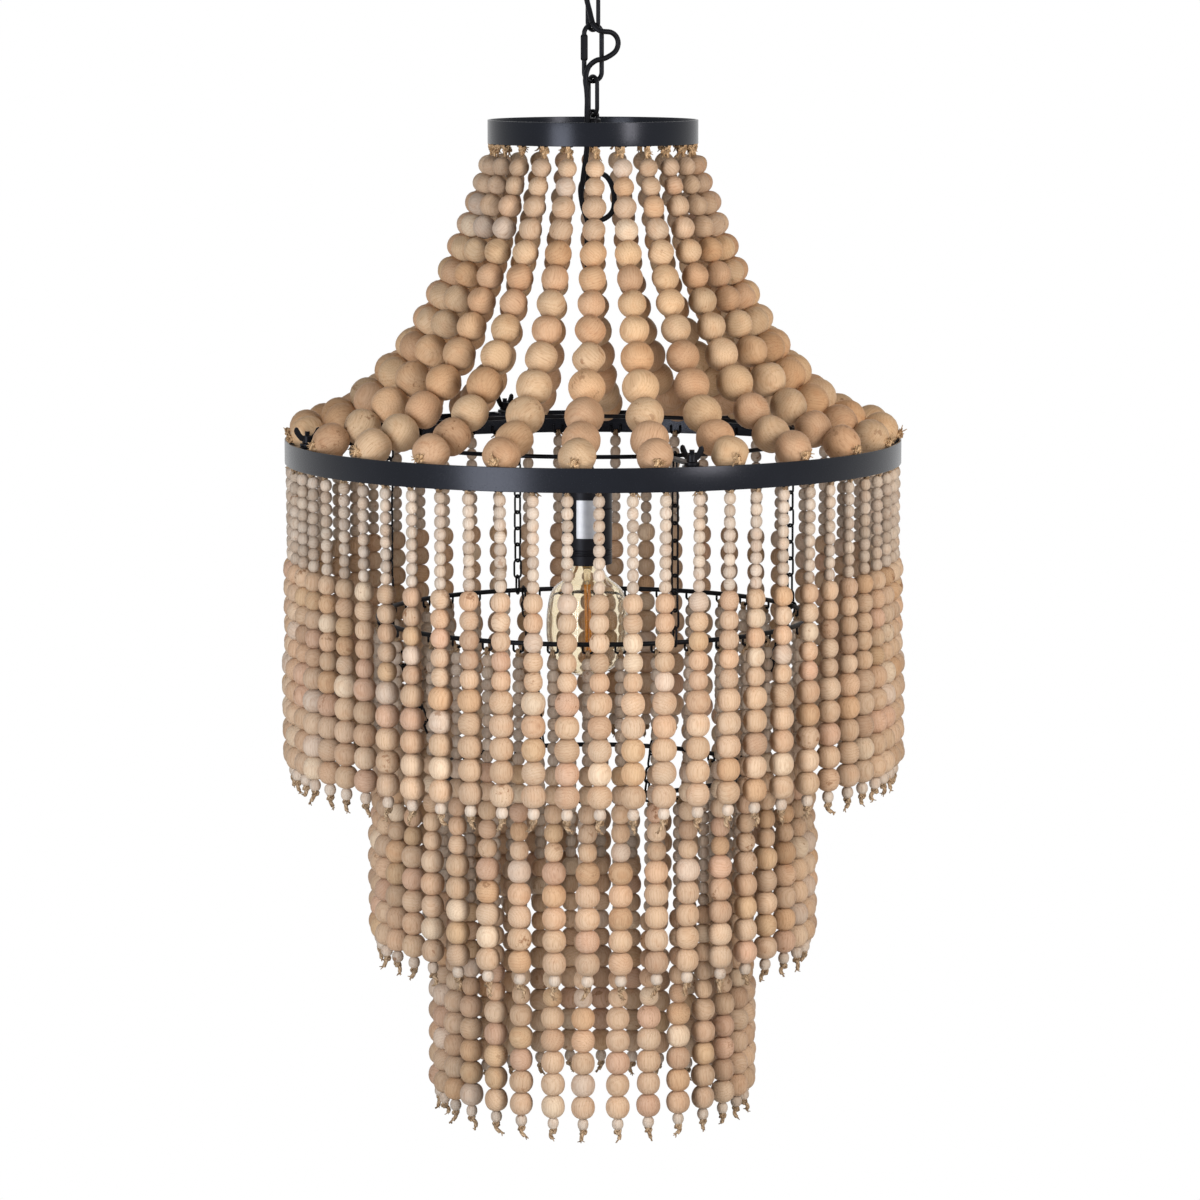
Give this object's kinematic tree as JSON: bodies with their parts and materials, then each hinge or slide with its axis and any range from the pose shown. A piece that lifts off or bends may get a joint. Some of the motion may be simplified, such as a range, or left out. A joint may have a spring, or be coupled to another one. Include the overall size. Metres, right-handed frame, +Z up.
{
  "type": "beaded chandelier",
  "caption": "Hanging lamp of wooden bead strands: a concave beaded canopy from a small hoop down to a wide flat hoop, with stepped tiers of hanging strands around a globe bulb.",
  "frame": {"origin": "centre of the ceiling plate's upper face, where the fixing meets the ceiling", "axes": "+Z up the chain towards the ceiling; -Y towards the viewer of the picture; +X to the viewer's right"},
  "size_m": [0.593, 0.593, 1.1338],
  "materials": {
    "zinc": "zinc plated",
    "black_metal": "black powder coat, satin",
    "wood": "bare turned wood, matte",
    "flex": "matte",
    "black_plastic": "matte",
    "ceramic": "glazed",
    "brass": "bright",
    "amber_glass": "clear amber",
    "filament": "glowing"
  },
  "bodies": {
    "ceiling_fixing": {"ceiling_plate": "zinc", "ceiling_hook": "black_metal", "ceiling_rose": "black_metal", "rose_collar": "black_metal", "flex_top": "flex"},
    "upper_link": {"upper_link": "black_metal", "flex_mid": "flex"},
    "fixture": {"quick_link": "black_metal", "lower_link": "black_metal", "flex_main": "flex", "hub_eye": "black_metal", "hub_nut": "black_metal", "cord_clip": "black_metal", "top_cross_bar": "black_metal", "top_hoop": "black_metal", "canopy_strands_1": "wood", "canopy_strands_2": "wood", "canopy_strands_3": "wood", "canopy_strands_4": "wood", "big_hoop": "black_metal", "inner_hoop": "black_metal", "tier_1_strands_1": "wood", "tier_1_strands_2": "wood", "tier_1_strands_3": "wood", "tier_1_strands_4": "wood", "tier_1_strands_5": "wood", "tier_1_strands_6": "wood"},
    "quick_link_sleeve": {"quick_link_sleeve": "black_metal"},
    "flex_loop": {"flex_loop": "flex"},
    "lamp": {"flex_drop": "flex", "cord_grip": "black_plastic", "lampholder_cap": "black_plastic", "lampholder_sleeve": "black_plastic", "lampholder_insert": "ceramic"},
    "bulb": {"bulb_cap": "brass", "bulb_glass": "amber_glass", "bulb_filament": "filament"},
    "wing_nut_1": {"wing_nut_1": "black_metal"},
    "wing_nut_2": {"wing_nut_2": "black_metal"},
    "wing_nut_3": {"wing_nut_3": "black_metal"},
    "wing_nut_4": {"wing_nut_4": "black_metal"},
    "tier_2_chain_1": {"tier_2_chain_1": "black_metal"},
    "tier_2_chain_2": {"tier_2_chain_2": "black_metal"},
    "tier_2_chain_3": {"tier_2_chain_3": "black_metal"},
    "tier_2_chain_4": {"tier_2_chain_4": "black_metal"},
    "tier_2": {"tier_2_ring": "black_metal", "tier_2_strands_1": "wood", "tier_2_strands_2": "wood", "tier_2_strands_3": "wood", "tier_2_strands_4": "wood", "tier_3_chain_1": "black_metal", "tier_3_chain_2": "black_metal", "tier_3_chain_3": "black_metal", "tier_3_chain_4": "black_metal", "tier_3_ring": "black_metal", "tier_3_strands_1": "wood", "tier_3_strands_2": "wood", "tier_3_strands_3": "wood", "tier_3_strands_4": "wood"}
  },
  "joints": [
    {"name": "chain_swing_front_back", "type": "hinge", "parent": "ceiling_fixing", "child": "upper_link", "pos_m": [0, 0, -0.0749], "axis": [1, 0, 0], "range_deg": [-6, 6]},
    {"name": "chain_swing_sideways", "type": "hinge", "parent": "upper_link", "child": "fixture", "pos_m": [0, 0, -0.104], "axis": [0, 1, 0], "range_deg": [-6, 6]},
    {"name": "quick_link_sleeve_turn", "type": "hinge", "parent": "fixture", "child": "quick_link_sleeve", "pos_m": [-0.00813, -0.00143, -0.1215], "axis": [0, 0, 1], "range_deg": [0, 1440]},
    {"name": "lamp_swing_front_back", "type": "hinge", "parent": "fixture", "child": "flex_loop", "pos_m": [-0.0055, -0.009, -0.203], "axis": [1, 0, 0], "range_deg": [-4, 4]},
    {"name": "lamp_swing_sideways", "type": "hinge", "parent": "flex_loop", "child": "lamp", "pos_m": [-0.0055, -0.009, -0.313], "axis": [0, 1, 0], "range_deg": [-4, 4]},
    {"name": "bulb_unscrew", "type": "hinge", "parent": "lamp", "child": "bulb", "pos_m": [-0.0055, -0.009, -0.586], "axis": [0, 0, 1], "range_deg": [-1080, 0]},
    {"name": "wing_nut_1_turn", "type": "hinge", "parent": "fixture", "child": "wing_nut_1", "pos_m": [0.08821, -0.26363, -0.4775], "axis": [0, 0, 1], "range_deg": [0, 1080]},
    {"name": "wing_nut_2_turn", "type": "hinge", "parent": "fixture", "child": "wing_nut_2", "pos_m": [0.26363, 0.08821, -0.4775], "axis": [0, 0, 1], "range_deg": [0, 1080]},
    {"name": "wing_nut_3_turn", "type": "hinge", "parent": "fixture", "child": "wing_nut_3", "pos_m": [-0.08821, 0.26363, -0.4775], "axis": [0, 0, 1], "range_deg": [0, 1080]},
    {"name": "wing_nut_4_turn", "type": "hinge", "parent": "fixture", "child": "wing_nut_4", "pos_m": [-0.26363, -0.08821, -0.4775], "axis": [0, 0, 1], "range_deg": [0, 1080]},
    {"name": "tier_2_chain_1_swing", "type": "hinge", "parent": "fixture", "child": "tier_2_chain_1", "pos_m": [0.0744, -0.18887, -0.48495], "axis": [0, 1, 0], "range_deg": [-8, 8]},
    {"name": "tier_2_chain_2_swing", "type": "hinge", "parent": "fixture", "child": "tier_2_chain_2", "pos_m": [0.18887, 0.0744, -0.48495], "axis": [0, 1, 0], "range_deg": [-8, 8]},
    {"name": "tier_2_chain_3_swing", "type": "hinge", "parent": "fixture", "child": "tier_2_chain_3", "pos_m": [-0.0744, 0.18887, -0.48495], "axis": [0, 1, 0], "range_deg": [-8, 8]},
    {"name": "tier_2_chain_4_swing", "type": "hinge", "parent": "fixture", "child": "tier_2_chain_4", "pos_m": [-0.18887, -0.0744, -0.48495], "axis": [0, 1, 0], "range_deg": [-8, 8]},
    {"name": "tier_2_level", "type": "hinge", "parent": "tier_2_chain_1", "child": "tier_2", "pos_m": [0.0744, -0.18887, -0.65545], "axis": [0, 1, 0], "range_deg": [-8, 8]}
  ],
  "couplings": [
    {"joint": "tier_2_level", "follows": "tier_2_chain_1_swing", "ratio": -1},
    {"joint": "tier_2_chain_2_swing", "follows": "tier_2_chain_1_swing", "ratio": 1},
    {"joint": "tier_2_chain_3_swing", "follows": "tier_2_chain_1_swing", "ratio": 1},
    {"joint": "tier_2_chain_4_swing", "follows": "tier_2_chain_1_swing", "ratio": 1}
  ]
}
